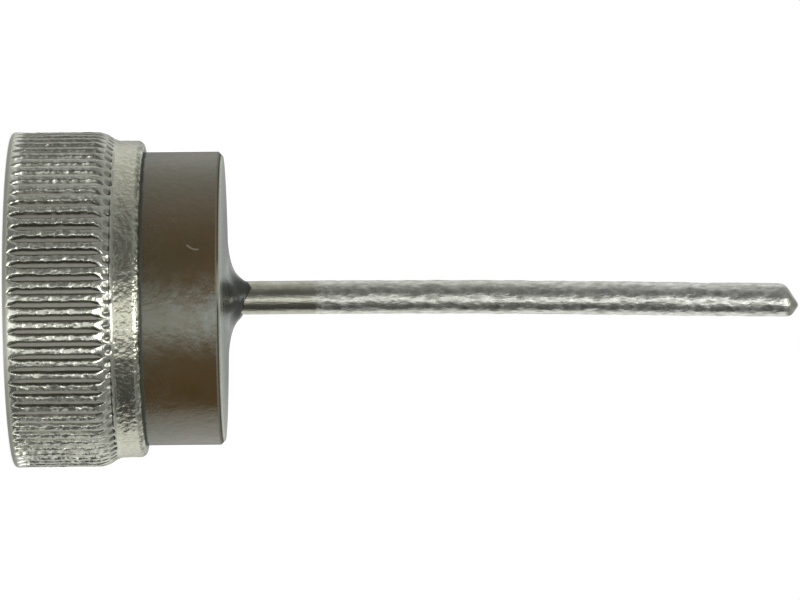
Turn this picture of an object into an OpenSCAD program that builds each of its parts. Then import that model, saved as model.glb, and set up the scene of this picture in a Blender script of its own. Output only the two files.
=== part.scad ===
// Press-fit rectifier diode of a car alternator, standing on the flat base of its knurled cup.
// Origin at the centre of the base face, +Z along the lead. Millimetres.
// Copper cup, soldered silicon die, nail-headed lead, moulded sleeve and cast resin.

/* [Cup] */
// Diameter over the knurl's ridges, the press-fit size
knurl_d = 12.8; // [12:0.05:14]
// Height of the straight part of the knurl, up to the start of its shoulder
knurl_h = 3.2; // [2.6:0.05:4]
// How far the plain neck stands back inside the ridges, on the radius
neck_step = 0.35; // [0.3:0.01:0.5]
// Radius of the rounded shoulder that leads the knurl in to the neck
shoulder_r = 1.02; // [0.8:0.02:1.4]
// Height of the neck, from the end of the shoulder to the top of the lip
neck_h = 1.08; // [0.8:0.02:1.6]
// Radius of the fillet between the shoulder and the neck
neck_fillet = 0.15; // [0.05:0.01:0.2]
// Rounding of the lip's outer edge
lip_round = 0.27; // [0.1:0.01:0.28]
// Chamfer inside the lip, round the sleeve
lip_chamfer = 0.08; // [0.04:0.01:0.1]
// Rounding of the bottom edge
foot_round = 0.18; // [0.05:0.01:0.25]
// Thickness of the wall round the cavity, at the neck
cup_wall = 0.42; // [0.4:0.01:0.8]
// Thickness of the base under the trench that the sleeve stands in
trench_floor = 2.3; // [1.5:0.05:2.5]
// Height of the die's platform above the trench floor
platform_step = 0.8; // [0.75:0.05:1.2]
// Width of the platform's rim, outside the soft coating
platform_rim = 0.2; // [0.1:0.05:0.3]
// Depth of the undercut round the platform that locks the resin
undercut_depth = 0.25; // [0.1:0.01:0.26]

/* [Knurl] */
// Number of grooves round the rim
groove_count = 80; // [60:1:84]
// Width of a groove at the ridges
groove_w = 0.28; // [0.24:0.01:0.32]
// Depth of a groove below the ridges
groove_depth = 0.16; // [0.08:0.01:0.18]
// Height at which the grooves start above the base face
groove_start = 0.24; // [0.2:0.01:0.5]
// Length over which a groove widens from the point it starts in
groove_taper = 0.42; // [0.2:0.01:0.8]
// Width of the small flutes that end the ridges, where they meet the neck
flute_w = 0.2; // [0.12:0.01:0.26]
// Depth of a flute where it meets the neck
flute_depth = 0.08; // [0.04:0.01:0.12]

/* [Sleeve] */
// Gap between the sleeve and the wall of the cup
sleeve_gap = 0.04; // [0.01:0.01:0.08]
// Wall thickness of the sleeve
sleeve_wall = 0.8; // [0.6:0.05:0.9]
// Height of the sleeve's top face above the cup's lip
sleeve_rise = 2.87; // [1.5:0.05:5]
// Chamfer on the sleeve's top outer edge
sleeve_chamfer = 0.06; // [0.03:0.01:0.1]

/* [Die] */
// Side of the square silicon die
die_side = 5.2; // [4.6:0.1:5.4]
// Thickness of the die
die_t = 0.3; // [0.2:0.01:0.4]
// Thickness of each solder layer
solder_t = 0.08; // [0.05:0.01:0.12]
// How far the lower solder layer spreads past each edge of the die
solder_spread = 0.1; // [0.05:0.01:0.15]
// How far the soft coating reaches past the corners of the solder
coating_margin = 0.13; // [0.05:0.01:0.2]
// Width of the coating's flat top, round the lead's head
coating_land = 0.55; // [0.3:0.05:0.8]
// Height of the coating above the die
coating_rise = 0.34; // [0.15:0.01:0.5]

/* [Lead] */
// Diameter of the lead wire
wire_d = 1.27; // [1:0.01:1.5]
// Diameter of the nail head that is soldered to the die
head_d = 4.3; // [3.6:0.1:4.5]
// Thickness of the nail head at its edge
head_t = 0.5; // [0.3:0.05:0.8]
// Height of the cone between the nail head and the wire
head_cone = 0.7; // [0.4:0.05:1.2]
// Length of the lead above the sleeve's top face, up to its tip
lead_reach = 21.98; // [18:0.1:30]
// Straight length of the lead above the sleeve's top face, up to its gentle bend
stem_len = 2.68; // [2:0.1:4]
// Length of the bend
bend_len = 11.4; // [6:0.1:12]
// Radius of the bend
bend_r = 540; // [300:10:2000]
// Angle between the lead's axis and the slope of its cropped tip
tip_angle = 56; // [40:1:65]
// Distance of the tip's point from the wire's axis
tip_offset = 0.17; // [0:0.01:0.3]

/* [Resin] */
// How far the resin's brim stays inside the sleeve's chamfer
brim_inset = 0.01; // [0.01:0.01:0.1]
// Height of the resin's brim above the sleeve's top face
brim_h = 0.09; // [0.05:0.01:0.2]
// Further rise of the resin from its brim to the foot of the meniscus
resin_rise = 0.08; // [0.05:0.01:0.3]
// Height of the meniscus that climbs the lead
meniscus_h = 0.98; // [0.4:0.02:1.1]
// Distance over which the meniscus falls to a third of its height
meniscus_fall = 0.42; // [0.2:0.02:0.6]

/* [Hidden] */
$fn = 96;

// Overlap that lets a cutter run past the surface it opens
cut = 0.1;
knurl_r = knurl_d / 2;
neck_r = knurl_r - neck_step;
cavity_r = neck_r - cup_wall;
// Angle that the shoulder's arc has turned through where it reaches the neck
shoulder_turn = acos(1 - neck_step / shoulder_r);
shoulder_top = knurl_h + shoulder_r * sin(shoulder_turn);
cup_h = shoulder_top + neck_h;
platform_h = trench_floor + platform_step;
undercut_mid = trench_floor + platform_step / 2;

groove_pitch = 360 / groove_count;
// The grooves end in points, a little short of where their floor would leave the shoulder
groove_stop = 0.05;
groove_end = knurl_h + sqrt(pow(shoulder_r, 2) - pow(shoulder_r - groove_depth, 2)) - groove_stop;
// Radius of the round cutter that leaves a flute of the stated width and depth
flute_r = (pow(flute_w / 2, 2) + pow(flute_depth, 2)) / (2 * flute_depth);
// Length over which a straight flute runs out of the rounded shoulder
flute_len = sqrt(2 * shoulder_r * flute_depth) + cut;
// How far a flute runs past the shoulder's end, into the fillet
flute_overrun = 0.03;

sleeve_r = cavity_r - sleeve_gap;
sleeve_top = cup_h + sleeve_rise;
resin_r = sleeve_r - sleeve_wall;
brim_r = sleeve_r - sleeve_chamfer - brim_inset;

base_solder_z = platform_h;
die_z = base_solder_z + solder_t;
head_solder_z = die_z + die_t;
head_z = head_solder_z + solder_t;
solder_side = die_side + 2 * solder_spread;
// The coating is round, and reaches past the corners of the square solder layer
coating_r = solder_side / sqrt(2) + coating_margin;
platform_r = coating_r + platform_rim;

wire_r = wire_d / 2;
head_r = head_d / 2;
wire_z = head_z + head_t + head_cone;
bend_start = sleeve_top + stem_len;
bend_angle = asin(bend_len / bend_r);
bend_end_x = bend_r * (1 - cos(bend_angle));
bend_end_z = bend_start + bend_r * sin(bend_angle);
// Length of the straight end piece, along its own leaning axis
end_len = (sleeve_top + lead_reach - bend_end_z + tip_offset * sin(bend_angle)) / cos(bend_angle);

resin_top = sleeve_top + brim_h + resin_rise;
// Number of steps in which the meniscus is drawn
meniscus_steps = 14;

// Height of the resin's free surface at radius r: a shallow dome with a meniscus round the lead
function resin_surface(r) =
    resin_top - resin_rise * pow(r / brim_r, 2)
    + meniscus_h * exp(-(r - wire_r) / meniscus_fall);

// Radii of the drawn steps, closer together towards the lead
function meniscus_radius(i) =
    wire_r + (brim_r - brim_h - wire_r) * pow(i / meniscus_steps, 2);

// What is left outside a quarter circle, for rounding the corner of an outline
module corner(r) {
    difference() {
        square(r + cut);
        circle(r);
    }
}

// Outline of the solid cup, without its cavity
module cup_outline() {
    difference() {
        union() {
            square([knurl_r, knurl_h]);
            intersection() {
                translate([knurl_r - shoulder_r, knurl_h])
                    circle(shoulder_r);
                square([knurl_r, shoulder_top]);
            }
            square([knurl_r - shoulder_r, cup_h]);
            square([neck_r, cup_h]);
            shoulder_fillet();
        }
        translate([knurl_r - foot_round, foot_round])
            mirror([0, 1])
                corner(foot_round);
        translate([neck_r - lip_round, cup_h - lip_round])
            corner(lip_round);
    }
}

// Concave fillet in the corner between the shoulder's end and the neck
module shoulder_fillet() {
    run = neck_fillet * (1 - cos(shoulder_turn));
    rise = neck_fillet * sin(shoulder_turn);
    difference() {
        translate([neck_r - cut, shoulder_top - cut])
            square([cut + run, cut + rise]);
        translate([neck_r + neck_fillet, shoulder_top + rise])
            circle(neck_fillet);
    }
}

// Outline of the cavity: the trench for the sleeve round the die's platform, with its undercut
module cavity_outline() {
    translate([platform_r, trench_floor])
        square([cavity_r - platform_r, cup_h]);
    translate([0, platform_h])
        square([cavity_r, cup_h]);
    undercut_outline();
    translate([cavity_r - cut, cup_h - lip_chamfer - cut])
        polygon([[0, 0], [cut, cut], [cut + lip_chamfer, cut + lip_chamfer],
                 [cut + lip_chamfer, 2 * cut + lip_chamfer], [0, 2 * cut + lip_chamfer]]);
}

// Outline of the V-shaped undercut in the platform's side, which the resin fills
module undercut_outline() {
    translate([platform_r, undercut_mid])
        polygon([[-undercut_depth, 0], [cut, -undercut_depth - cut], [cut, undercut_depth + cut]]);
}

// The grooves of the knurl: flat-floored, pointed at both ends, shallower over the shoulder
module knurl_grooves() {
    for (i = [0 : groove_count - 1])
        rotate((i + 0.5) * groove_pitch)
            translate([knurl_r - groove_depth, 0, 0])
                rotate([90, 0, 90])
                    linear_extrude(groove_depth + cut)
                        groove_outline();
}

// Outline of one groove, seen from outside
module groove_outline() {
    polygon([[0, groove_start], [groove_w / 2, groove_start + groove_taper],
             [groove_w / 2, knurl_h], [0, groove_end], [-groove_w / 2, knurl_h],
             [-groove_w / 2, groove_start + groove_taper]]);
}

// A short flute on the shoulder at the end of each ridge, deepest where it meets the neck
module shoulder_flutes() {
    for (i = [0 : groove_count - 1])
        rotate(i * groove_pitch)
            translate([knurl_r - shoulder_r, 0, knurl_h])
                rotate([0, -shoulder_turn, 0])
                    translate([shoulder_r - flute_depth + flute_r, 0, -flute_len])
                        cylinder(r = flute_r, h = flute_len + flute_overrun);
}

module cup() {
    color("silver")
        difference() {
            rotate_extrude()
                difference() {
                    cup_outline();
                    cavity_outline();
                }
            knurl_grooves();
            shoulder_flutes();
        }
}

// The moulded tube that stands in the trench and holds the resin
module sleeve() {
    color("saddlebrown")
        rotate_extrude()
            polygon([[resin_r, trench_floor], [sleeve_r, trench_floor],
                     [sleeve_r, sleeve_top - sleeve_chamfer],
                     [sleeve_r - sleeve_chamfer, sleeve_top], [resin_r, sleeve_top]]);
}

// Outline of the coating's low dome, filled down to the platform
module coating_outline() {
    polygon([[0, platform_h], [coating_r, platform_h], [coating_r, head_solder_z],
             [head_r + coating_land, head_solder_z + coating_rise],
             [0, head_solder_z + coating_rise]]);
}

// Outline of the lead as far as it is straight: nail head, cone and wire
module lead_outline() {
    polygon([[0, head_z], [head_r, head_z], [head_r, head_z + head_t],
             [wire_r, wire_z], [wire_r, bend_start], [0, bend_start]]);
}

// Outline of everything under the resin's free surface, from the axis out to the sleeve
module resin_outline() {
    surface = [for (i = [0 : meniscus_steps]) let (r = meniscus_radius(i)) [r, resin_surface(r)]];
    polygon(concat([[0, platform_h], [0, resin_surface(wire_r)]], surface,
                   [[brim_r, sleeve_top], [resin_r, sleeve_top], [resin_r, trench_floor],
                    [platform_r, trench_floor], [platform_r, undercut_mid - undercut_depth],
                    [platform_r - undercut_depth, undercut_mid],
                    [platform_r, undercut_mid + undercut_depth], [platform_r, platform_h]]));
}

// The cast resin: it fills the sleeve and the trench, laps over the sleeve and climbs the lead
module potting() {
    color("dimgray")
        rotate_extrude()
            difference() {
                resin_outline();
                coating_outline();
                lead_outline();
            }
}

// Square plate centred on the axis, for the die and its lower solder layer
module plate(side, z, thickness) {
    translate([-side / 2, -side / 2, z])
        cube([side, side, thickness]);
}

module junction_coating() {
    color("white")
        difference() {
            rotate_extrude()
                coating_outline();
            base_solder();
            silicon_die();
            head_solder();
            rotate_extrude()
                lead_outline();
        }
}

module silicon_die() {
    color("darkslategray")
        plate(die_side, die_z, die_t);
}

module base_solder() {
    color("lightgray")
        plate(solder_side, base_solder_z, solder_t);
}

module head_solder() {
    color("lightgray")
        translate([0, 0, head_solder_z])
            cylinder(r = head_r, h = solder_t);
}

// The wire's last stretch, leaning with the bend, with its point cropped off to one side
module lead_end() {
    translate([bend_end_x, 0, bend_end_z])
        rotate([0, bend_angle, 0])
            intersection() {
                cylinder(r = wire_r, h = end_len);
                translate([tip_offset, 0, -end_len])
                    cylinder(r1 = 2 * end_len * tan(tip_angle), r2 = 0, h = 2 * end_len);
            }
}

module lead_wire() {
    color("gainsboro") {
        rotate_extrude()
            lead_outline();
        translate([bend_r, 0, bend_start])
            rotate([90, 0, 180])
                rotate_extrude(angle = bend_angle)
                    translate([bend_r, 0])
                        circle(wire_r);
        lead_end();
    }
}

cup();
sleeve();
potting();
junction_coating();
silicon_die();
base_solder();
head_solder();
lead_wire();
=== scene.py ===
"""Looks of a press-fit alternator diode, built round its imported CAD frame."""

import math

import bpy
import numpy as np
from mathutils import Matrix, Vector, noise


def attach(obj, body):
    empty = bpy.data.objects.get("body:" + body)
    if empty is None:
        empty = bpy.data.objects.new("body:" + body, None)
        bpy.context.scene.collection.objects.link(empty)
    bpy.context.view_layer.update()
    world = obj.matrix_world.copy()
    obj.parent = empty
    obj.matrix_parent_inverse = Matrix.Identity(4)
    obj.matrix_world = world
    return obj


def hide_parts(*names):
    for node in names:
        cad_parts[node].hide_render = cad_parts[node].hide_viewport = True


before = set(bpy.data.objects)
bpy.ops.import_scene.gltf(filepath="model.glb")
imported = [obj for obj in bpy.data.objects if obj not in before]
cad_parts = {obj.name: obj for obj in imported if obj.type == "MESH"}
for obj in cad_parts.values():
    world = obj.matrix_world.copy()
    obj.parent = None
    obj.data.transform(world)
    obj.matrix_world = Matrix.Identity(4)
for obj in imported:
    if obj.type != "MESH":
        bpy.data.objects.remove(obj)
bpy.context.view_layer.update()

MM = 0.001

# Sizes of the CAD part, in millimetres
KNURL_R, KNURL_H = 6.4, 3.2
NECK_R = 6.05
SHOULDER_R = 1.02
FOOT_ROUND, LIP_ROUND, LIP_CHAMFER = 0.18, 0.27, 0.08
FILLET_R = 0.15
CAVITY_R, TRENCH_FLOOR = 5.63, 2.3
PLATFORM_R, PLATFORM_H = 4.148, 3.1
UNDERCUT = 0.25
UNDERCUT_MID = (TRENCH_FLOOR + PLATFORM_H) / 2
SHOULDER_TURN = math.acos(1 - (KNURL_R - NECK_R) / SHOULDER_R)
SHOULDER_TOP = KNURL_H + SHOULDER_R * math.sin(SHOULDER_TURN)
NECK_H = 1.08
CUP_H = SHOULDER_TOP + NECK_H
GROOVES = 80
GROOVE_DEPTH = 0.16
SLEEVE_R, SLEEVE_WALL, SLEEVE_TOP = 5.59, 0.8, 7.9191
SLEEVE_INNER = SLEEVE_R - SLEEVE_WALL
SLEEVE_CHAMFER = 0.06
BRIM_R, BRIM_H, RESIN_RISE = 5.52, 0.09, 0.08
COATING_R, COATING_LAND_R = 3.948, 2.7
COATING_EDGE_Z, COATING_TOP_Z = 3.48, 3.82
WIRE_R, HEAD_R = 0.635, 2.15
HEAD_Z, HEAD_T, HEAD_CONE = 3.56, 0.5, 0.7
BEND_START, BEND_LEN, BEND_R = 10.5991, 11.4, 540.0
TIP_Z = 29.8991
TIP_ANGLE = math.radians(56)
# Sizes that aren't the CAD's: how far the tip's point stands off the wire's axis, how much fuller the
# tip's cone is, and the height at which the wire's dipped coat starts
TIP_SHIFT, TIP_FULLER, DIP_Z = 0.18, 0.06, 11.7


def make_object(name, vertices, faces, smooth_angle=40):
    """A smooth-shaded mesh object from points in millimetres."""
    mesh = bpy.data.meshes.new(name)
    mesh.from_pydata([tuple(v) for v in np.asarray(vertices) * MM], [], faces)
    mesh.validate()
    mesh.update()
    mesh.shade_smooth()
    mesh.set_sharp_from_angle(angle=math.radians(smooth_angle))
    thing = bpy.data.objects.new(name, mesh)
    bpy.context.scene.collection.objects.link(thing)
    return thing


def ring(radii, heights, angles):
    """Points of one ring round the axis."""
    radii = np.broadcast_to(radii, angles.shape)
    heights = np.broadcast_to(heights, angles.shape)
    return np.stack([radii * np.cos(angles), radii * np.sin(angles), heights], 1)


def band(first, second, count):
    """Quads between two rings of the same count, the second one outside or above the first."""
    return [(first + i, first + (i + 1) % count, second + (i + 1) % count, second + i)
            for i in range(count)]


def fan_band(coarse, coarse_count, fine, fine_count):
    """Faces that join a coarse ring to a fine one, each as wide as one coarse edge."""
    step = fine_count // coarse_count
    faces = []
    for i in range(coarse_count):
        outer = [fine + (i * step + k) % fine_count for k in range(step + 1)]
        faces.append((coarse + i, *outer, coarse + (i + 1) % coarse_count))
    return faces


def flipped(faces):
    return [tuple(reversed(f)) for f in faces]


def revolve(name, profile, count, smooth_angle=40):
    """A closed solid of revolution: the profile runs anticlockwise seen with r to the right and z up."""
    angles = np.arange(count) * 2 * math.pi / count
    points, starts = [], []
    total = 0
    for r, z in profile:
        starts.append(total)
        if r < 1e-6:
            points.append(np.array([[0, 0, z]]))
            total += 1
        else:
            points.append(ring(r, z, angles))
            total += count
    faces = []
    for i, (r, z) in enumerate(profile):
        j = (i + 1) % len(profile)
        a, b = starts[i], starts[j]
        if r < 1e-6 and profile[j][0] < 1e-6:
            continue
        if r < 1e-6:
            faces += [(a, b + (k + 1) % count, b + k) for k in range(count)]
        elif profile[j][0] < 1e-6:
            faces += [(a + k, a + (k + 1) % count, b) for k in range(count)]
        else:
            faces += band(a, b, count)
    return make_object(name, np.concatenate(points), faces, smooth_angle)


def arc(centre, radius, start, end, steps):
    """Points of an arc in the r-z plane, from start to end in degrees."""
    turns = np.radians(np.linspace(start, end, steps + 1))
    return [(centre[0] + radius * math.cos(t), centre[1] + radius * math.sin(t)) for t in turns]


def lump(points, scale, seed):
    """Smooth noise of about -1 to 1 at points in millimetres; scale is the size of its lumps."""
    shift = Vector((seed * 7.31, seed * 3.17, seed * 5.03))
    if np.ndim(scale) == 0:
        scale = (scale, scale, scale)
    return np.array([noise.noise(Vector((p[0] / scale[0], p[1] / scale[1], p[2] / scale[2])) + shift)
                     for p in points]) * 1.6


# Radii of the rings of points on the base face
BASE_RINGS = (6.05, 5.95, 4.5, 3.0, 1.5)
PITCH = 2 * math.pi / GROOVES
HALF = KNURL_R * PITCH / 2
# One pitch of the knurl from ridge to ridge: distance from the groove's middle in mm, depth as a share
# of the full one, and how much painted shade lies there, most at the walls' feet. The walls slope, and
# the groove's middle lies 0.046 mm to the minus side of the CAD's.
SECTION = [(-HALF, 0.008, 0), (-0.226, 0.03, 0.1), (-0.203, 0.11, 0.4), (-0.178, 0.38, 0.7),
           (-0.150, 0.80, 0.9), (-0.128, 0.98, 1.0), (-0.085, 1.0, 0.35), (0.010, 0.99, 0.3),
           (0.038, 1.0, 1.0), (0.062, 0.75, 0.8), (0.088, 0.36, 0.4), (0.110, 0.11, 0.1),
           (0.145, 0.028, 0), (0.190, 0.003, 0)]
COLUMNS = len(SECTION)
# Points of the section up to this far from the middle close in towards a groove's ends
EDGE = 0.165
# Middles of the two ragged edges
JAG_MINUS, JAG_PLUS = -0.175, 0.09
# From groove to groove: lowest and highest start and end, and depth as a share of the CAD's
GROOVE_STARTS, GROOVE_ENDS, GROOVE_TAPER = (0.16, 0.26), (3.64, 3.76), 0.45
DEPTH_SHARES = (0.82, 0.94)
PAD_DROP = 0.03
FLUTE_Z, FLUTE_REACH, FLUTE_WIDTH, FLUTE_DEPTH = 3.845, 0.15, 0.15, 0.12
# The platform's side with its V-shaped undercut, upwards
PLATFORM_SIDE = [(PLATFORM_R, TRENCH_FLOOR), (PLATFORM_R, UNDERCUT_MID - UNDERCUT),
                 (PLATFORM_R - UNDERCUT, UNDERCUT_MID), (PLATFORM_R, UNDERCUT_MID + UNDERCUT),
                 (PLATFORM_R, PLATFORM_H)]


def cup_rows():
    """Outer profile from the base to the lip, as (r, z) with more rows where the shape changes."""
    rows = [(BASE_RINGS[0], 0)]
    rows += arc((KNURL_R - FOOT_ROUND, FOOT_ROUND), FOOT_ROUND, -90, 0, 5)
    rows += [(KNURL_R, z) for z in np.arange(0.24, 0.75, 0.06)]
    rows += [(KNURL_R, z) for z in np.linspace(0.8, KNURL_H, 28)]
    touch = math.degrees(math.acos((NECK_R + FILLET_R * (1 - math.cos(SHOULDER_TURN))
                                    - KNURL_R + SHOULDER_R) / SHOULDER_R))
    rows += arc((KNURL_R - SHOULDER_R, KNURL_H), SHOULDER_R, 0, touch, 17)[1:]
    rise = FILLET_R * math.sin(SHOULDER_TURN)
    rows += arc((NECK_R + FILLET_R, SHOULDER_TOP + rise), FILLET_R,
                180 + math.degrees(SHOULDER_TURN), 180, 4)
    top = CUP_H - LIP_ROUND
    rows += [(NECK_R, z) for z in np.linspace(SHOULDER_TOP + rise, top, 9)[1:]]
    rows += arc((NECK_R - LIP_ROUND, top), LIP_ROUND, 0, 90, 6)[1:]
    return rows


def knurled_surface(rows):
    """Radius, angle and height of the outside's points, with the painted shade, flute and groove depth
    there.
    """
    r, z = (np.array(column)[:, None, None] for column in zip(*rows))
    offset, depth, groove_shade = (np.array(column)[None, None, :] for column in zip(*SECTION))
    rng = np.random.default_rng(11)

    def vary(low, high):
        return rng.uniform(low, high, GROOVES)[None, :, None]

    # Grooves run out to points at both ends
    start, end = vary(*GROOVE_STARTS), vary(*GROOVE_ENDS)
    open_ = np.clip(np.minimum(z - start, end - z) / GROOVE_TAPER, 0, 1)
    share = vary(0.94, 1.05) * (1 - (1 - open_) ** 1.6)
    narrow = np.maximum(share, 0.06)
    edge = EDGE * narrow
    u = np.where(np.abs(offset) <= EDGE, offset * narrow,
                 np.sign(offset) * (HALF - (HALF - np.abs(offset)) * (HALF - edge) / (HALF - EDGE)))
    # Ragged edges
    jag = np.array([[noise.noise(Vector((h / 0.17, 5.3 * g, 0.5))) for g in range(GROOVES)]
                    for _, h in rows])[:, :, None]
    near = 0.045 * np.exp(-((offset - JAG_MINUS) / 0.05) ** 2) \
        + 0.03 * np.exp(-((offset - JAG_PLUS) / 0.05) ** 2)
    u = u + near * jag * share
    angle = (np.arange(GROOVES)[None, :, None] + 0.5) * PITCH + u / KNURL_R
    deep = np.clip(share * 2.2, 0, 1)
    floor = KNURL_R - GROOVE_DEPTH * vary(*DEPTH_SHARES)
    radius = r - np.maximum(r - floor, 0) * depth * deep
    here = np.clip((r - floor) / 0.05, 0, 1) * deep
    shape = (len(rows), GROOVES * COLUMNS)
    ridge = np.abs(HALF - np.abs(u)) * r / KNURL_R
    # The ridges' ends widen into domed pads
    on_pad = np.clip(1 - share, 0, 1) * np.clip((z - 0.15) / 0.15, 0, 1) \
        * np.clip((3.9 - z) / 0.15, 0, 1)
    radius = radius - PAD_DROP * np.where(z < 1, 0.55, 1) * (ridge / HALF) ** 2 * on_pad
    along = (z - FLUTE_Z - vary(-0.03, 0.03)) / (FLUTE_REACH * vary(0.8, 1.05))
    flute = np.sqrt(np.clip(1 - along ** 2, 0, 1))
    flute = flute * np.clip(1 - (ridge / (FLUTE_WIDTH * (0.6 + 0.4 * flute))) ** 2, 0, 1)
    radius = radius - flute * FLUTE_DEPTH * vary(0.6, 1.0)
    # The painted shade in the grooves fades towards ±X
    lean = np.cos(angle)
    aside = np.clip((np.where(lean < 0, -lean, lean - 0.12) - 0.5) / 0.3, 0, 1)
    groove_shade = groove_shade * (1 - 0.85 * aside)
    height = np.broadcast_to(z, radius.shape)
    return [values.reshape(shape)
            for values in (radius, angle, height, groove_shade * here, flute, depth * here)]


def cup():
    """The knurled cup, with a hammered neck outside and a plain cavity inside."""
    rows = cup_rows()
    fine, coarse = GROOVES * COLUMNS, GROOVES * 2
    radius, angle, height, groove_shade, flute, depth = knurled_surface(rows)
    count = radius.size

    def points():
        return np.stack([radius * np.cos(angle), radius * np.sin(angle), height], 2).reshape(count, 3)

    # Dents, rough ridges and a hammered neck
    cloud = points()
    on_neck = np.clip((height - 4.09) / 0.06, 0, 1) \
        * np.clip((CUP_H - 0.03 - height) / 0.1, 0, 1)
    on_wall = np.clip((height - 0.3) / 0.3, 0, 1) * np.clip((3.95 - height) / 0.4, 0, 1)
    lumps = 0.010 * (lump(cloud, 0.45, 1) - 1) + 0.008 * (lump(cloud, 0.18, 2) - 1)
    radius = radius + lumps.reshape(radius.shape) * (on_wall + 0.8 * on_neck)

    vertices = [points()]
    faces = []
    for i in range(len(rows) - 1):
        faces += band(i * fine, (i + 1) * fine, fine)

    # Base disc, then the hidden cavity, on rings of fewer points
    coarse_angles = angle[0][::fine // coarse]
    total = count

    def add_ring(r, z):
        nonlocal total
        vertices.append(ring(r, z, coarse_angles))
        total += coarse
        return total - coarse

    outer = add_ring(BASE_RINGS[1], 0)
    faces += flipped(fan_band(outer, coarse, 0, fine))
    for r in BASE_RINGS[2:]:
        inner = add_ring(r, 0)
        faces += band(inner, outer, coarse)
        outer = inner
    vertices.append(np.array([[0, 0, 0.0]]))
    total += 1
    faces += [(total - 1, outer + (k + 1) % coarse, outer + k) for k in range(coarse)]

    previous = add_ring(CAVITY_R + LIP_CHAMFER, CUP_H)
    faces += fan_band(previous, coarse, (len(rows) - 1) * fine, fine)
    cavity = [(CAVITY_R, CUP_H - LIP_CHAMFER), (CAVITY_R, TRENCH_FLOOR), *PLATFORM_SIDE,
              (2.0, PLATFORM_H)]
    for r, z in cavity:
        following = add_ring(r, z)
        faces += band(previous, following, coarse)
        previous = following
    vertices.append(np.array([[0, 0, PLATFORM_H]]))
    total += 1
    faces += [(previous + k, previous + (k + 1) % coarse, total - 1) for k in range(coarse)]

    thing = make_object("cup_shell", np.concatenate(vertices), faces, 40)
    for name, values in (("groove_shade", groove_shade), ("flute", flute), ("groove", depth)):
        everywhere = np.zeros(total, np.float32)
        everywhere[:count] = values.reshape(count)
        thing.data.attributes.new(name, "FLOAT", "POINT").data.foreach_set("value", everywhere)
    return thing


def sleeve():
    """The tube, with its chamfered top edge."""
    profile = [(SLEEVE_INNER, SLEEVE_TOP), (SLEEVE_INNER, TRENCH_FLOOR), (SLEEVE_R, TRENCH_FLOOR),
               (SLEEVE_R, 5.0)]
    profile += [(SLEEVE_R, z) for z in np.linspace(5.2, SLEEVE_TOP - SLEEVE_CHAMFER, 12)]
    profile += [(SLEEVE_R - SLEEVE_CHAMFER, SLEEVE_TOP)]
    return revolve("sleeve_tube", profile, 256)


def resin_height(r, angles):
    """Height of the resin over the sleeve's top: a low dome, a meniscus and a film on the wire."""
    dome = BRIM_H + RESIN_RISE * (1 - (r / BRIM_R) ** 2)
    meniscus = 1.03 * math.exp(-(max(r - WIRE_R, 0) / 0.34) ** 0.6)
    turn = angles + math.radians(135)
    film = (0.13 * np.cos(turn) + 0.10 * np.cos(2 * turn) - 0.305 + 0.03 * np.sin(5 * angles)) \
        * math.exp(-max(r - WIRE_R, 0) / 0.05)
    return dome + meniscus + film


def potting():
    """The cast resin, which laps over the sleeve's top and ends there in a brim."""
    count = 192
    angles = np.arange(count) * 2 * math.pi / count
    below = [(HEAD_R, COATING_TOP_Z), (COATING_LAND_R, COATING_TOP_Z), (COATING_R, COATING_EDGE_Z),
             (COATING_R, PLATFORM_H), *reversed(PLATFORM_SIDE), (SLEEVE_INNER, TRENCH_FLOOR),
             (SLEEVE_INNER, SLEEVE_TOP), (BRIM_R, SLEEVE_TOP)]
    rings = [ring(r, z, angles) for r, z in below]
    for r in reversed(WIRE_R + (BRIM_R - BRIM_H - WIRE_R) * np.linspace(0, 1, 44) ** 2.4):
        rings.append(ring(r, SLEEVE_TOP + resin_height(r, angles), angles))
    top = SLEEVE_TOP + resin_height(WIRE_R, angles)
    rings += [ring(WIRE_R - 0.02, top, angles), ring(WIRE_R - 0.02, 5.0, angles),
              ring(WIRE_R, HEAD_Z + HEAD_T + HEAD_CONE, angles), ring(HEAD_R, HEAD_Z + HEAD_T, angles)]
    total = len(rings)
    faces = []
    for i in range(total):
        faces += band(i * count, (i + 1) % total * count, count)
    return make_object("resin_fill", np.concatenate(rings), faces, 60)


def lead_centre(z):
    """Centre of the wire at height z, and its lean there."""
    run = max(0.0, min(z - BEND_START, BEND_LEN))
    x = BEND_R - math.sqrt(BEND_R ** 2 - run ** 2)
    lean = math.asin(run / BEND_R)
    x += max(0.0, z - BEND_START - BEND_LEN) * math.tan(lean)
    return x, lean


def reach_to(radius, centre, start, angles):
    """Distance from a point on the x axis to a circle round another one, at each angle."""
    off = start - centre
    return -off * np.cos(angles) + np.sqrt(np.maximum(radius ** 2 - (off * np.sin(angles)) ** 2, 1e-6))


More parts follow.
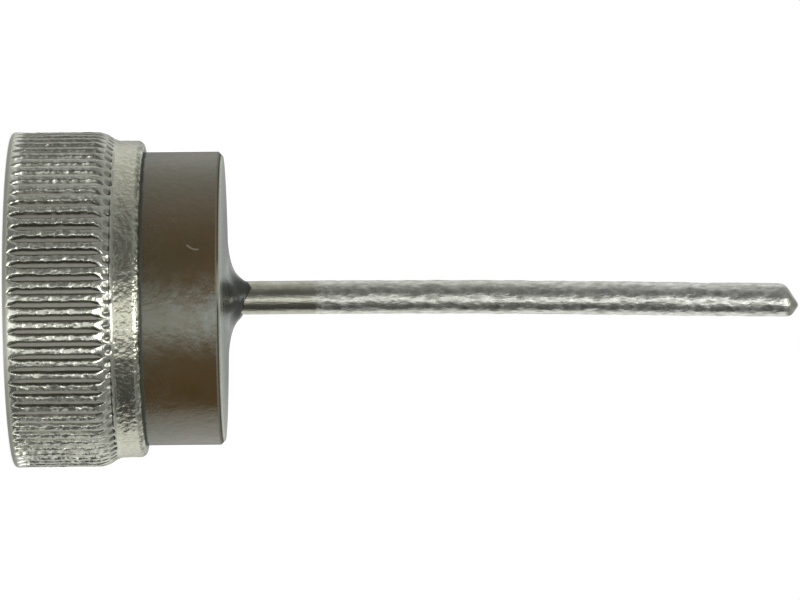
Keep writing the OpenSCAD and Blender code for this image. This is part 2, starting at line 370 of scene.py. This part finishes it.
def lead():
    """The lead from its nail head to its cropped tip."""
    count = 48
    angles = np.arange(count) * 2 * math.pi / count
    heights = [*np.arange(4.9, 29.0, 0.07), *np.linspace(29.03, TIP_Z - 0.02, 16)]
    vertices, faces = [], []
    for r, z in [(HEAD_R, HEAD_Z), (HEAD_R, HEAD_Z + HEAD_T), (WIRE_R, HEAD_Z + HEAD_T + HEAD_CONE)]:
        vertices.append(ring(r, z, angles))
    for z in heights:
        x, lean = lead_centre(z)
        circle = ring(WIRE_R, z, angles)
        dipped = min(max((z - DIP_Z) / 0.25 + 1, 0), 1)
        radius = WIRE_R + (0.004 + 0.011 * dipped) * lump(circle, (0.5, 0.5, 0.7), 5) \
            + (0.002 + 0.006 * dipped) * lump(circle, (0.17, 0.17, 0.22), 6)
        # The coat starts with a thin ragged bead
        radius = radius + 0.016 * np.exp(-((z - DIP_Z + 0.08 * lump(circle, 0.4, 8)) / 0.09) ** 2)
        # The cropped tip: a cone whose point stands off the axis, its edge softened
        cone = (TIP_Z - z) * math.tan(TIP_ANGLE) + TIP_FULLER
        shift = TIP_SHIFT * min(max(1 - cone / 0.9, 0), 1)
        if cone < 1.1:
            radius = (reach_to(radius, 0, shift, angles) ** -8
                      + reach_to(cone, TIP_SHIFT, shift, angles) ** -8) ** (-1 / 8)
        points = ring(1, z, angles)
        points[:, 0] = x + shift + radius * np.cos(angles)
        points[:, 1] = radius * np.sin(angles)
        points[:, 2] = z - (points[:, 0] - x) * math.tan(lean)
        vertices.append(points)
    rings = len(vertices)
    for i in range(rings - 1):
        faces += band(i * count, (i + 1) * count, count)
    x, lean = lead_centre(TIP_Z)
    vertices.append(np.array([[0, 0, HEAD_Z], [x + TIP_SHIFT, 0, TIP_Z]]))
    low, high = rings * count, rings * count + 1
    last = (rings - 1) * count
    faces += [(low, (k + 1) % count, k) for k in range(count)]
    faces += [(last + k, last + (k + 1) % count, high) for k in range(count)]
    return make_object("lead_pin", np.concatenate(vertices), faces, 60)


def new_material(name):
    """A material with one Principled shader, with its node tree and shader."""
    material = bpy.data.materials.new(name)
    material.use_nodes = True
    tree = material.node_tree
    tree.nodes.clear()
    out = tree.nodes.new("ShaderNodeOutputMaterial")
    shader = tree.nodes.new("ShaderNodeBsdfPrincipled")
    tree.links.new(shader.outputs[0], out.inputs[0])
    return material, tree, shader


def add(tree, kind, inputs=None, **settings):
    """A new node; inputs are values or the sockets that feed them."""
    node = tree.nodes.new("ShaderNode" + kind)
    for key, value in settings.items():
        setattr(node, key, value)
    for key, value in (inputs or {}).items():
        if isinstance(value, bpy.types.NodeSocket):
            tree.links.new(value, node.inputs[key])
        else:
            node.inputs[key].default_value = value
    return node


def maths(tree, operation, a, b=0.0, clamp=False):
    """One Math node's result."""
    return add(tree, "Math", {0: a, 1: b}, operation=operation, use_clamp=clamp).outputs[0]


def place(tree):
    return add(tree, "TexCoord").outputs["Object"]


def axes(tree):
    """The place's X, Y and Z."""
    return add(tree, "SeparateXYZ", {"Vector": place(tree)}).outputs


def off_axis(tree):
    """Distance from the part's axis."""
    around = add(tree, "VectorMath", {0: place(tree), 1: (1, 1, 0)}, operation="MULTIPLY")
    return add(tree, "VectorMath", {0: around.outputs["Vector"]}, operation="LENGTH").outputs["Value"]


def stretched(tree, scale):
    return add(tree, "Mapping", {"Vector": place(tree), "Scale": scale}).outputs[0]


def noise_of(tree, size_mm, detail=3.0, roughness=0.55, vector=None, distortion=0.0):
    """Noise of 0 to 1 with lumps of about size_mm."""
    return add(tree, "TexNoise", {"Vector": vector or place(tree), "Scale": 1 / (size_mm * MM),
                                  "Detail": detail, "Roughness": roughness,
                                  "Distortion": distortion}).outputs["Fac"]


def product(tree, first, *others):
    """Product of values and sockets."""
    for other in others:
        first = maths(tree, "MULTIPLY", first, other)
    return first


def ramp(tree, value, low, high, to_low=0.0, to_high=1.0):
    """value mapped from low..high to to_low..to_high, clamped."""
    return add(tree, "MapRange", {"Value": value, "From Min": low, "From Max": high,
                                  "To Min": to_low, "To Max": to_high}, clamp=True).outputs[0]


def blend(tree, factor, a, b):
    """Colour a mixed with colour b; the Mix node's colours are its inputs 6 and 7."""
    node = add(tree, "Mix", None, data_type="RGBA")
    for key, value in ((0, factor), (6, a), (7, b)):
        if isinstance(value, bpy.types.NodeSocket):
            tree.links.new(value, node.inputs[key])
        else:
            node.inputs[key].default_value = value if key == 0 else (*value, 1)
    return node.outputs[2]


def bump(tree, height, distance_mm, strength=1.0, normal=None):
    inputs = {"Height": height, "Distance": distance_mm * MM, "Strength": strength}
    if normal:
        inputs["Normal"] = normal
    return add(tree, "Bump", inputs).outputs[0]


def plating():
    """Satin nickel plate: bumpy ridges and neck, dull groove floors, painted shade at the walls' feet
    and in the flutes, and groove floors painted lighter towards ±X.
    """
    material, tree, shader = new_material("plating")

    def painted(name):
        return add(tree, "Attribute", None, attribute_name=name).outputs["Fac"]

    groove, groove_shade, flute = painted("groove"), painted("groove_shade"), painted("flute")
    side, _, height = axes(tree)
    # Towards ±X, where the groove floors are painted lighter
    aside = maths(tree, "ADD", ramp(tree, side, -3.2 * MM, -5.0 * MM),
                  ramp(tree, side, 4.1 * MM, 5.2 * MM))
    land = maths(tree, "MULTIPLY", ramp(tree, height, 3.97 * MM, 4.0 * MM),
                 ramp(tree, height, 4.07 * MM, 4.11 * MM, 1, 0))
    rough_area = maths(tree, "SUBTRACT", 1.0, land)
    on_neck = ramp(tree, height, 4.05 * MM, 4.12 * MM)
    ends = maths(tree, "ADD", ramp(tree, height, 0.35 * MM, 0.6 * MM, 1, 0),
                 maths(tree, "SUBTRACT", ramp(tree, height, 3.3 * MM, 3.55 * MM), on_neck), True)
    mottle = blend(tree, on_neck, noise_of(tree, 0.27, 1.5, 0.5), noise_of(tree, 0.19, 2, 0.5))
    grain = noise_of(tree, 0.08, 3, 0.6)
    stain = noise_of(tree, 0.7, 3, 0.6)
    spots = noise_of(tree, 0.16, 2, 0.5)
    colour = blend(tree, ramp(tree, stain, 0.35, 0.7), (0.67, 0.68, 0.58), (0.60, 0.605, 0.51))
    colour = blend(tree, ramp(tree, spots, 0.66, 0.76, 0, 0.35), colour, (0.28, 0.27, 0.21))
    crest = product(tree, ramp(tree, groove, 0.1, 0.3, 1, 0), ramp(tree, side, -3.9 * MM, -4.7 * MM),
                    ramp(tree, height, 0.3 * MM, 0.6 * MM), ramp(tree, height, 3.3 * MM, 3.7 * MM, 1, 0))
    colour = blend(tree, maths(tree, "MULTIPLY", crest, 0.8), colour, (0.30, 0.30, 0.25))
    top = product(tree, ramp(tree, groove, 0.02, 0.12, 1, 0), ramp(tree, height, 0.5 * MM, 0.7 * MM),
                  ramp(tree, height, 3.2 * MM, 3.5 * MM, 1, 0))
    colour = blend(tree, maths(tree, "MULTIPLY", top, 0.3), colour, (0.84, 0.85, 0.75))
    pads = product(tree, ramp(tree, height, 0.45 * MM, 0.6 * MM, 1, 0),
                   ramp(tree, groove, 0.02, 0.1, 1, 0), ramp(tree, height, 0.11 * MM, 0.18 * MM))
    colour = blend(tree, pads, colour, (0.86, 0.87, 0.78))
    # Painted light: groove floors lighter towards ±X than in the middle of the front
    floors = blend(tree, aside, (0.33, 0.325, 0.275), (0.62, 0.63, 0.55))
    colour = blend(tree, ramp(tree, groove, 0.85, 0.98, 0, 0.95), colour, floors)
    # Painted shade at the walls' feet, where the grooves are darkest
    colour = blend(tree, ramp(tree, groove_shade, 0.05, 1.0, 0, 0.92), colour, (0.07, 0.065, 0.05))
    # Painted shade in the flutes: dark round their rims, lighter grey in their middles
    colour = blend(tree, ramp(tree, flute, 0.08, 0.4, 0, 0.6), colour, (0.20, 0.19, 0.15))
    colour = blend(tree, ramp(tree, flute, 0.6, 1.0, 0, 0.7), colour, (0.52, 0.51, 0.43))
    colour = blend(tree, maths(tree, "MULTIPLY", on_neck, 0.6), colour, (0.665, 0.66, 0.52))
    lip = maths(tree, "MULTIPLY", ramp(tree, height, 4.82 * MM, 4.95 * MM), ramp(tree, spots, 0.38, 0.6))
    colour = blend(tree, lip, colour, (0.22, 0.215, 0.17))
    dull = ramp(tree, groove, 0.88, 0.99)
    roughness = ramp(tree, grain, 0.3, 0.7, 0.19, 0.33)
    smooth = maths(tree, "MAXIMUM", ends, on_neck)
    roughness = maths(tree, "SUBTRACT", roughness, maths(tree, "MULTIPLY", smooth, 0.06))
    roughness = maths(tree, "SUBTRACT", roughness, maths(tree, "MULTIPLY", pads, 0.04))
    roughness = maths(tree, "ADD", roughness, maths(tree, "MULTIPLY", top, 0.10))
    roughness = maths(tree, "ADD", roughness, maths(tree, "MULTIPLY", dull, 0.3))
    roughness = maths(tree, "ADD", roughness, ramp(tree, groove, 0.3, 0.6, 0, 0.08))
    tree.links.new(colour, shader.inputs["Base Color"])
    tree.links.new(roughness, shader.inputs["Roughness"])
    tree.links.new(ramp(tree, dull, 0, 1, 1, 0.05), shader.inputs["Metallic"])
    bumpy = product(tree, rough_area, ramp(tree, groove, 0.15, 0.5, 1, 0.25),
                    ramp(tree, on_neck, 0, 1, 1, 0.38), ramp(tree, ends, 0, 1, 1, 0.2))
    coarse_bump = bump(tree, mottle, 0.12, bumpy)
    tree.links.new(bump(tree, grain, 0.003, rough_area, coarse_bump), shader.inputs["Normal"])
    return material


# The scuff on the sleeve is an arc in the x-z plane
SCUFF_CENTRE, SCUFF_R = (-2.25, 0, 7.17), 0.434
# Colour of the painted shade lines above the cup's lip and at the resin brim's foot
PAINTED_SHADE_COLOUR = (0.016, 0.011, 0.005)


def sleeve_plastic():
    """Brown moulded plastic with a patchy gloss, duller towards the cup, one curved scuff, a painted
    highlight on the front and a painted shadow line just above the cup's lip.
    """
    material, tree, shader = new_material("sleeve_plastic")
    cloud = noise_of(tree, 2.4, 3, 0.5)
    rust = noise_of(tree, 2.0, 2, 0.5)
    fine = noise_of(tree, 0.22, 4, 0.6)
    matt = noise_of(tree, 0.45, 4, 0.7)
    colour = blend(tree, ramp(tree, cloud, 0.35, 0.65), (0.059, 0.034, 0.005), (0.071, 0.038, 0.007))
    colour = blend(tree, ramp(tree, rust, 0.35, 0.75, 0, 0.5), colour, (0.083, 0.036, 0.008))
    colour = blend(tree, ramp(tree, fine, 0.66, 0.8, 0, 0.4), colour, (0.11, 0.10, 0.075))
    x, y, z = axes(tree)
    # Painted highlight: pale grey blotches on the front (-Y), between x = -1.1 and 2.3 mm, stronger
    # towards the top
    painted_highlight_patches = product(tree, ramp(tree, matt, 0.40, 0.66), ramp(tree, x, -1.1 * MM, 0.3 * MM),
                      ramp(tree, x, 1.3 * MM, 2.3 * MM, 1, 0), ramp(tree, y, -4.5 * MM, -5.0 * MM),
                      ramp(tree, z, 6.0 * MM, 7.8 * MM, 0.2, 0.7))
    colour = blend(tree, painted_highlight_patches, colour, (0.185, 0.20, 0.185))
    flat = stretched(tree, (1, 0, 1))
    reach = add(tree, "VectorMath", {0: flat, 1: Vector(SCUFF_CENTRE) * MM}, operation="DISTANCE")
    off = maths(tree, "ABSOLUTE", maths(tree, "SUBTRACT", reach.outputs["Value"], SCUFF_R * MM))
    scuff = product(tree, ramp(tree, off, 0.015 * MM, 0.04 * MM, 1, 0),
                    ramp(tree, x, -2.02 * MM, -1.98 * MM), ramp(tree, z, 7.28 * MM, 7.22 * MM),
                    ramp(tree, y, 0.1 * MM, -0.1 * MM))
    colour = blend(tree, maths(tree, "MULTIPLY", scuff, 0.8), colour, (0.20, 0.185, 0.13))
    # Painted shadow: a ragged dark line on the sleeve just above the cup's lip, also made rougher
    ragged = maths(tree, "MULTIPLY", maths(tree, "SUBTRACT", fine, 0.5), 0.12 * MM)
    tall = maths(tree, "ADD", z, ragged)
    painted_lip_shadow = product(tree, ramp(tree, tall, 5.10 * MM, 5.16 * MM, 0.85, 0),
                   ramp(tree, off_axis(tree), 5.50 * MM, 5.53 * MM))
    colour = blend(tree, painted_lip_shadow, colour, PAINTED_SHADE_COLOUR)
    tree.links.new(colour, shader.inputs["Base Color"])
    duller = maths(tree, "ADD", ramp(tree, z, 5.2 * MM, 6.7 * MM, 0.08, 0),
                   maths(tree, "MULTIPLY", painted_lip_shadow, 0.5))
    # The chamfer is matt
    duller = maths(tree, "ADD", duller, ramp(tree, z, (SLEEVE_TOP - 0.062) * MM,
                                             (SLEEVE_TOP - 0.055) * MM, 0, 0.35))
    roughness = maths(tree, "ADD", ramp(tree, matt, 0.3, 0.7, 0.13, 0.27), duller)
    tree.links.new(roughness, shader.inputs["Roughness"])
    shader.inputs["IOR"].default_value = 1.74
    shader.inputs["Specular IOR Level"].default_value = 1.0
    shader.inputs["Specular Tint"].default_value = (0.84, 0.99, 0.91, 1)
    relief = maths(tree, "ADD", fine, maths(tree, "MULTIPLY", matt, 1.5))
    tree.links.new(bump(tree, relief, 0.013), shader.inputs["Normal"])
    return material


def resin():
    """Dark grey resin with a painted reflection that makes it pale towards its brim, and a painted shade
    line where it meets the sleeve.
    """
    material, tree, shader = new_material("resin")
    cloud = noise_of(tree, 0.5, 3, 0.5)
    fine = noise_of(tree, 0.08, 2, 0.5)
    colour = blend(tree, ramp(tree, cloud, 0.35, 0.7), (0.028, 0.028, 0.024), (0.045, 0.045, 0.038))
    colour = blend(tree, ramp(tree, fine, 0.68, 0.78, 0, 0.6), colour, (0.16, 0.14, 0.08))
    x, _, z = axes(tree)
    radius = off_axis(tree)
    # Painted reflection: the outer resin lighter grey, paler still at the brim and towards +X
    film = product(tree, ramp(tree, radius, 3.2 * MM, 4.7 * MM), ramp(tree, cloud, 0.2, 0.6, 0.5, 0.9))
    colour = blend(tree, film, colour, (0.18, 0.19, 0.15))
    pale = maths(tree, "ADD", ramp(tree, radius, 4.9 * MM, 5.4 * MM, 0, 0.5),
                 ramp(tree, x, 0.5 * MM, 3.0 * MM, 0, 0.3), True)
    colour = blend(tree, product(tree, pale, film), colour, (0.40, 0.405, 0.32))
    # Painted shade: a dark line at the brim's foot, fainter in the middle of the front
    fade = maths(tree, "ABSOLUTE", maths(tree, "ADD", x, 0.5 * MM))
    line = product(tree, ramp(tree, radius, 5.40 * MM, 5.43 * MM),
                   ramp(tree, z, (SLEEVE_TOP + 0.045) * MM, (SLEEVE_TOP + 0.065) * MM, 1, 0),
                   ramp(tree, fade, 0.3 * MM, 0.9 * MM, 0.25, 0.95))
    colour = blend(tree, line, colour, PAINTED_SHADE_COLOUR)
    tree.links.new(colour, shader.inputs["Base Color"])
    roughness = maths(tree, "ADD", ramp(tree, cloud, 0.3, 0.7, 0.18, 0.30),
                      maths(tree, "MULTIPLY", line, 0.4))
    tree.links.new(roughness, shader.inputs["Roughness"])
    shader.inputs["IOR"].default_value = 1.5
    shader.inputs["Specular Tint"].default_value = (0.88, 1.0, 0.93, 1)
    tree.links.new(bump(tree, cloud, 0.01), shader.inputs["Normal"])
    return material


def tinned_wire():
    """Bright drawn wire near the resin, then a grainy dip-tinned coat."""
    material, tree, shader = new_material("tinned_wire")
    height = axes(tree)["Z"]
    edge = maths(tree, "MULTIPLY", noise_of(tree, 0.35, 2, 0.5), 0.5 * MM)
    dipped = ramp(tree, maths(tree, "ADD", height, edge), (DIP_Z - 0.05) * MM, (DIP_Z + 0.15) * MM)
    drawn = noise_of(tree, 0.12, 3, 0.6, vector=stretched(tree, (1, 1, 0.12)))
    grain = noise_of(tree, 0.19, 3, 0.55, vector=stretched(tree, (1, 1, 0.5)))
    relief = blend(tree, dipped, drawn, grain)
    stain = noise_of(tree, 0.45, 3, 0.6)
    plain = blend(tree, ramp(tree, stain, 0.35, 0.7), (0.64, 0.635, 0.53), (0.46, 0.45, 0.36))
    bright = blend(tree, ramp(tree, height, 17 * MM, 25 * MM),
                   (0.85, 0.865, 0.78), (0.95, 0.96, 0.90))
    coat = blend(tree, ramp(tree, grain, 0.32, 0.6), (0.56, 0.57, 0.50), bright)
    coat = blend(tree, ramp(tree, stain, 0.52, 0.7, 0, 0.4), coat, (0.46, 0.46, 0.36))
    colour = blend(tree, dipped, plain, coat)
    colour = blend(tree, ramp(tree, height, 29.35 * MM, 29.5 * MM, 0, 0.7), colour, (0.30, 0.30, 0.25))
    tree.links.new(colour, shader.inputs["Base Color"])
    roughness = maths(tree, "ADD", ramp(tree, stain, 0.3, 0.7, 0.14, 0.24),
                      maths(tree, "MULTIPLY", dipped, 0.11))
    tree.links.new(roughness, shader.inputs["Roughness"])
    shader.inputs["Metallic"].default_value = 1.0
    strength = ramp(tree, dipped, 0, 1, 0.4, 1.0)
    tree.links.new(bump(tree, relief, 0.034, strength), shader.inputs["Normal"])
    return material


def inner_material(name, dark, light, size_mm, roughness, metallic=0.0, bump_mm=0.01):
    """A quiet finish for a piece that the resin hides."""
    material, tree, shader = new_material(name)
    cloud = noise_of(tree, size_mm, 4, 0.55)
    tree.links.new(blend(tree, ramp(tree, cloud, 0.3, 0.7), dark, light), shader.inputs["Base Color"])
    gloss = ramp(tree, cloud, 0.3, 0.7, roughness * 0.8, roughness * 1.2)
    tree.links.new(gloss, shader.inputs["Roughness"])
    shader.inputs["Metallic"].default_value = metallic
    tree.links.new(bump(tree, cloud, bump_mm), shader.inputs["Normal"])
    return material


# Brightness of the studio round the object, by azimuth from the camera's side towards +X
STUDIO = [(-180, 0.34), (-165, 0.42), (-145, 0.70), (-130, 0.82), (-105, 0.62), (-80, 0.42), (-60, 0.24),
          (-40, 0.13), (-22, 0.15), (-8, 0.24), (3, 0.70), (9, 1.20), (22, 1.20), (32, 0.42), (44, 0.12),
          (70, 0.07), (94, 0.07), (101, 0.65), (125, 0.92), (150, 0.85), (167, 0.50), (180, 0.34)]


def studio(tree, vector):
    """The studio's brightness in the direction of a vector."""
    parts = add(tree, "SeparateXYZ", {"Vector": vector})
    back = maths(tree, "MULTIPLY", parts.outputs["Y"], -1.0)
    turn = maths(tree, "ARCTAN2", parts.outputs["X"], back)
    share = ramp(tree, turn, -math.pi, math.pi)
    curve = add(tree, "ValToRGB", {"Fac": share})
    ramp_data = curve.color_ramp
    ramp_data.interpolation = "LINEAR"
    while len(ramp_data.elements) > 1:
        ramp_data.elements.remove(ramp_data.elements[-1])
    for i, (azimuth, value) in enumerate(STUDIO):
        position = (azimuth + 180) / 360
        element = ramp_data.elements[0] if i == 0 else ramp_data.elements.new(position)
        element.position = position
        element.color = (value, value, value, 1)
    return curve.outputs[0]


def make_world():
    """White for the camera, the studio for reflections and a soft light for dull surfaces."""
    world = bpy.data.worlds.new("studio")
    bpy.context.scene.world = world
    world.use_nodes = True
    tree = world.node_tree
    tree.nodes.clear()
    out = tree.nodes.new("ShaderNodeOutputWorld")
    way = add(tree, "TexCoord").outputs["Generated"]
    path = add(tree, "LightPath")
    parts = add(tree, "SeparateXYZ", {"Vector": way})
    sides = studio(tree, way)
    front = blend(tree, 0.72, sides, (0.30, 0.31, 0.31))
    above = blend(tree, ramp(tree, parts.outputs["Y"], 0.6, 0.95), front, (0.92, 0.97, 0.92))
    around = blend(tree, ramp(tree, parts.outputs["Z"], 0.13, 0.25), sides, above)
    soft = blend(tree, ramp(tree, parts.outputs["Y"], -1, 1), (0.58, 0.58, 0.57), (0.98, 0.98, 0.98))
    light = blend(tree, path.outputs["Is Glossy Ray"], soft, around)
    seen = blend(tree, path.outputs["Is Camera Ray"], light, (1, 1, 1))
    background = add(tree, "Background", {"Color": seen, "Strength": 1.0})
    tree.links.new(background.outputs[0], out.inputs[0])


def make_floor():
    """White paper that keeps the part's shadow; reflected rays see a painted studio brightness on it, by
    azimuth round the part, mixed with grey close round the part.
    """
    half = 0.35
    mesh = bpy.data.meshes.new("floor")
    mesh.from_pydata([(-half, -half, 0), (half, -half, 0), (half, half, 0), (-half, half, 0)],
                     [], [(0, 1, 2, 3)])
    floor = bpy.data.objects.new("floor", mesh)
    floor.location.z = -0.00002
    bpy.context.scene.collection.objects.link(floor)
    material = bpy.data.materials.new("floor")
    material.use_nodes = True
    tree = material.node_tree
    tree.nodes.clear()
    out = tree.nodes.new("ShaderNodeOutputMaterial")
    path = add(tree, "LightPath")
    paper = add(tree, "BsdfDiffuse", {"Color": (0.8, 0.8, 0.79, 1)})
    shadow = add(tree, "BsdfDiffuse", {"Color": (0.28, 0.28, 0.28, 1)})
    glow = add(tree, "Emission", {"Color": (1, 1, 1, 1), "Strength": 0.82})
    white = add(tree, "AddShader")
    tree.links.new(shadow.outputs[0], white.inputs[0])
    tree.links.new(glow.outputs[0], white.inputs[1])
    # Painted reflection: for glossy rays the floor shows the studio's brightness by azimuth, mostly grey
    # within about 8 mm of the part
    near = ramp(tree, add(tree, "VectorMath", {0: place(tree)}, operation="LENGTH").outputs["Value"],
                0.0075, 0.010, 0.75, 0)
    sides = blend(tree, near, studio(tree, place(tree)), (0.5, 0.5, 0.48))
    sides = add(tree, "Emission", {"Color": sides, "Strength": 0.9})
    first = add(tree, "MixShader", {"Fac": path.outputs["Is Glossy Ray"]})
    tree.links.new(paper.outputs[0], first.inputs[1])
    tree.links.new(sides.outputs[0], first.inputs[2])
    second = add(tree, "MixShader", {"Fac": path.outputs["Is Camera Ray"]})
    tree.links.new(first.outputs[0], second.inputs[1])
    tree.links.new(white.outputs[0], second.inputs[2])
    tree.links.new(second.outputs[0], out.inputs[0])
    mesh.materials.append(material)


def make_lamp(name, azimuth, elevation, distance, size, watts):
    """A square softbox that looks at the object."""
    data = bpy.data.lights.new(name, "AREA")
    data.shape, data.size, data.energy = "SQUARE", size, watts
    lamp = bpy.data.objects.new(name, data)
    a, e = math.radians(azimuth), math.radians(elevation)
    target = Vector((0, 0, 0.008))
    away = Vector((math.sin(a) * math.cos(e), -math.cos(a) * math.cos(e), math.sin(e)))
    lamp.location = target + away * distance
    lamp.rotation_mode = "QUATERNION"
    lamp.rotation_quaternion = away.to_track_quat("Z", "Y")
    lamp.visible_camera = False
    bpy.context.scene.collection.objects.link(lamp)


def make_camera():
    """The photograph's camera, which looks along +Y with +Z to the right."""
    data = bpy.data.cameras.new("camera")
    data.sensor_width, data.lens = 36.0, 240.2
    data.clip_start, data.clip_end = 0.01, 10.0
    camera = bpy.data.objects.new("camera", data)
    roll = math.radians(0.55)
    right = Vector((math.sin(roll), 0, math.cos(roll)))
    up = Vector((-math.cos(roll), 0, math.sin(roll)))
    back = right.cross(up)
    turn = Matrix((right, up, back)).transposed().to_4x4()
    turn.translation = Vector((0.000137, -0.2036, 0.01472))
    camera.matrix_world = turn
    bpy.context.scene.collection.objects.link(camera)
    bpy.context.scene.camera = camera


def dress(piece, node, material):
    """Gives a piece its material, puts it under the root body and hides the CAD node that it stands for.
    """
    piece.data.materials.clear()
    piece.data.materials.append(material)
    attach(piece, "root")
    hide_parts(node)


make_camera()
make_world()
make_floor()
make_lamp("key", 14, 35, 0.45, 0.22, 0.6)
make_lamp("top", 10, 74, 0.45, 0.16, 0.2)

dress(cup(), "cup", plating())
dress(sleeve(), "sleeve", sleeve_plastic())
dress(potting(), "potting", resin())
dress(lead(), "lead_wire", tinned_wire())

INNER = {
    "junction_coating": inner_material("soft_coating", (0.80, 0.80, 0.77), (0.88, 0.88, 0.86), 0.4, 0.5),
    "silicon_die": inner_material("silicon", (0.20, 0.21, 0.24), (0.28, 0.29, 0.33), 0.3, 0.15),
    "base_solder": inner_material("solder_low", (0.50, 0.50, 0.50), (0.62, 0.62, 0.61), 0.2, 0.4, 1.0),
    "head_solder": inner_material("solder_high", (0.50, 0.50, 0.50), (0.62, 0.62, 0.61), 0.2, 0.4, 1.0),
}
for node, material in INNER.items():
    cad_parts[node].data.materials.clear()
    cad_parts[node].data.materials.append(material)

scene = bpy.context.scene
scene.view_settings.view_transform = "Standard"
